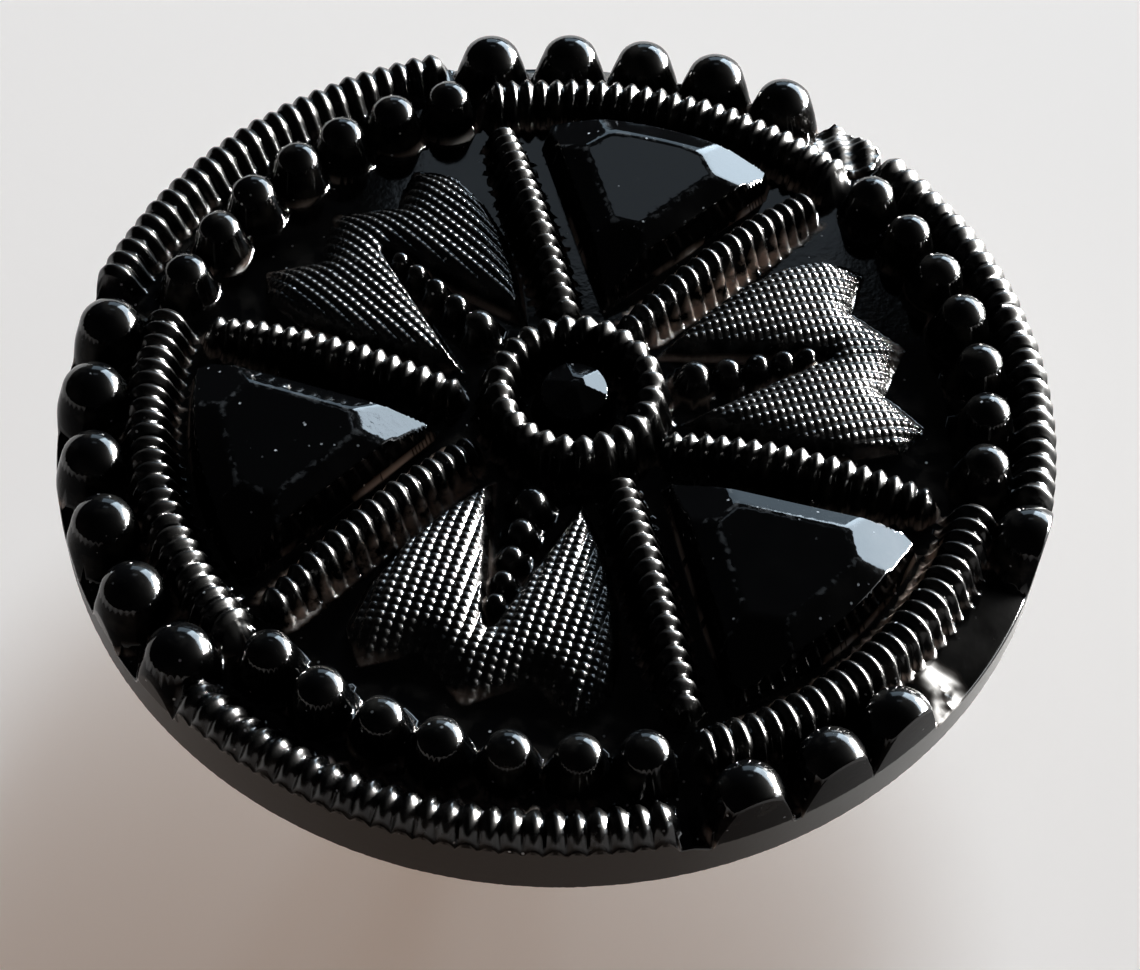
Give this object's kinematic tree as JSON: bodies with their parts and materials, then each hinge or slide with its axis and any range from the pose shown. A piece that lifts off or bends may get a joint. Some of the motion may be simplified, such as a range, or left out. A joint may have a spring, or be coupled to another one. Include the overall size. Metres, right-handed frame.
{
  "type": "sew on button",
  "caption": "Round pressed black glass dress button with a beaded and corded relief face, a metal back plate and a wire eye to sew through.",
  "frame": {"origin": "the cloth plane under the button's axis: the lowest point of the sewing eye, at the centre of the disc", "axes": "+Z out of the decorated face along the button's axis; the eye's bore runs along Y; +X through the middle of a leaf, between two stones"},
  "size_m": [0.0264, 0.0264, 0.0081],
  "materials": {
    "black_glass": "fire-polished gloss on the relief, satin on the side wall and back",
    "plate_metal": "dulled tinned iron",
    "wire_metal": "dulled tinned wire"
  },
  "bodies": {
    "root": {"glass_body": "black_glass", "shank_plate": "plate_metal", "shank_loop": "wire_metal"}
  },
  "joints": []
}
